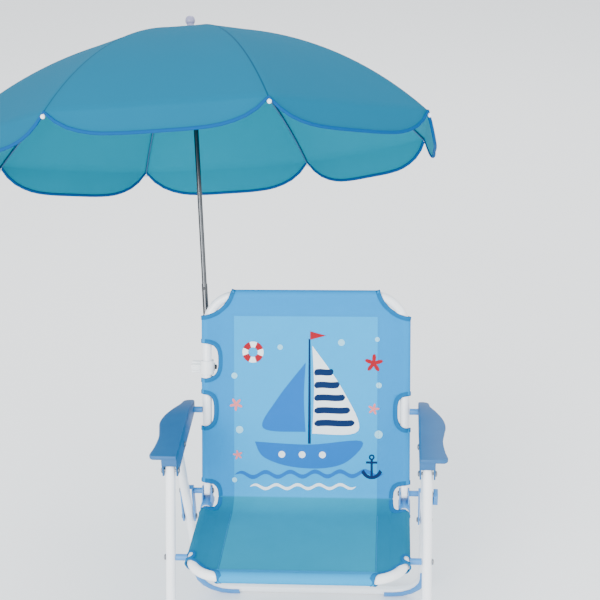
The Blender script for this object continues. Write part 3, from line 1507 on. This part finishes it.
def button_matrix(pole):
    """Frame of the snap button, its Z axis pointing forward out of the pole."""
    return (
        pole
        @ Matrix.Translation((0.0, 0.0, SNAP_BUTTON_UP))
        @ Matrix.Rotation(math.pi / 2.0, 4, "X")
    )


def build_pole(pole, canopy, lower_carrier, upper_carrier, button_carrier):
    """Both lengths of pole and the snap button that joins them."""
    lower = straight_tube(
        "lower_pole",
        pole,
        -LOWER_POLE_FOOT,
        LOWER_POLE_TOP,
        LOWER_POLE_RADIUS,
        "chrome_steel",
        lower_carrier,
    )
    top = canopy.hinge_height + NOTCH_HALF_HEIGHT
    upper = straight_tube(
        "upper_pole", pole, UPPER_POLE_FOOT, top, UPPER_POLE_RADIUS, "chrome_steel", upper_carrier
    )
    frame = button_matrix(pole)
    outer = LOWER_POLE_RADIUS + SNAP_BUTTON_PROUD
    hole_radius = SNAP_BUTTON_RADIUS + TOUCH_GAP
    hole = [(0.0, 0.0), (hole_radius, 0.0), (hole_radius, outer), (0.0, outer)]
    for tube, carrier in ((lower, lower_carrier), (upper, upper_carrier)):
        cutter = bmesh.new()
        add_turned(cutter, hole, frame, PIN_SIDES)
        apply_tool(tube, cutter, carrier, "DIFFERENCE", "button_hole")
    shape = bmesh.new()
    inner = outer - SNAP_BUTTON_LENGTH
    profile = [
        (0.0, inner),
        (SNAP_BUTTON_RADIUS, inner),
        (SNAP_BUTTON_RADIUS, outer - SNAP_BUTTON_PROUD / 2.0),
        (SNAP_BUTTON_RADIUS / 2.0, outer),
        (0.0, outer),
    ]
    add_turned(shape, profile, frame, PIN_SIDES)
    add_piece("snap_button", shape, "black_plastic", button_carrier)


def build_umbrella(linkage, back_carrier):
    """The sunshade: clamp, pole, ribs, stretchers, runner and canopy."""
    canopy = Canopy()
    pole = pole_matrix(linkage)
    _, _, behind = clamp_frame(linkage)
    knob = Carrier("knob_axis", pole.copy(), back_carrier)
    build_clamp(linkage, back_carrier, knob)
    lower = Carrier("lower_pole_axis", pole, back_carrier)
    upper = Carrier("upper_pole_axis", pole, lower)
    button = Carrier("snap_button_axis", button_matrix(pole), upper)
    runner = Carrier(
        "runner_axis", pole @ Matrix.Translation((0.0, 0.0, canopy.runner_height)), upper
    )
    build_pole(pole, canopy, lower, upper, button)
    runner_frame = Carrier("runner_frame", pole, runner)
    build_hubs(upper, runner_frame, canopy)
    build_finial(canopy, upper)
    build_canopy(canopy, upper)
    rib = shared_mesh("rib", rib_mesh(canopy), "chrome_steel")
    stretcher = shared_mesh("stretcher", stretcher_mesh(canopy), "zinc_steel")
    joint = Matrix.Translation(canopy.joint + Vector((0.0, STRETCHER_OFFSET, 0.0)))
    for index in range(RIB_COUNT):
        matrix = rib_matrix(pole, canopy, index)
        hinge = Carrier(f"rib_axis_{index + 1}", matrix, upper)
        link_mesh(f"rib_{index + 1}", rib, hinge)
        knee = Carrier(f"stretcher_axis_{index + 1}", matrix @ joint, hinge)
        link_mesh(f"stretcher_{index + 1}", stretcher, knee)


def build_chair():
    """All carriers in the order in which they hang on each other, and their pieces."""
    linkage = Linkage()
    floor = Carrier("chair", Matrix.Identity(4))
    front = Carrier("front_leg_axis", Matrix.Identity(4), floor)
    seat = Carrier("seat_axis", Matrix.Translation(linkage.seat_front), front)
    back = Carrier("back_axis", Matrix.Translation(linkage.seat_rear), seat)
    arms = Carrier("arm_axis", Matrix.Translation(linkage.arm_rear), back)
    rear = Carrier("rear_leg_axis", Matrix.Translation(linkage.rear_leg_top), arms)
    links = Carrier("link_axis", Matrix.Translation(linkage.link_root), rear)
    lock = Carrier("lock_axis", Matrix.Translation(linkage.seat_rear), links)
    build_front_legs(linkage, front)
    build_seat_frame(linkage, seat)
    build_seat_brackets(linkage, seat)
    build_seat_cloth(linkage, seat)
    build_back_frame(linkage, back)
    build_back_fittings(linkage, back)
    build_back_cloth(linkage, back)
    build_arms(linkage, arms)
    build_rear_legs(linkage, rear)
    build_links(linkage, links)
    build_lock(linkage, lock)
    build_umbrella(linkage, back)
    return floor


def stand_over_origin(floor):
    """Moves the whole part so that its box stands centred over the origin."""
    bpy.context.view_layer.update()
    graph = bpy.context.evaluated_depsgraph_get()
    corners = []
    for piece in bpy.data.objects:
        if piece.type == "MESH" and not piece.hide_render:
            solid = piece.evaluated_get(graph)
            corners += [solid.matrix_world @ vertex.co for vertex in solid.data.vertices]
    low = Vector([min(corner[axis] for corner in corners) for axis in range(3)])
    high = Vector([max(corner[axis] for corner in corners) for axis in range(3)])
    middle = (low + high) / 2.0
    floor.empty.location = (-middle.x, -middle.y, -low.z)


def main():
    """Clears the scene and models the part."""
    for found in list(bpy.data.objects):
        bpy.data.objects.remove(found, do_unlink=True)
    stand_over_origin(build_chair())


main()
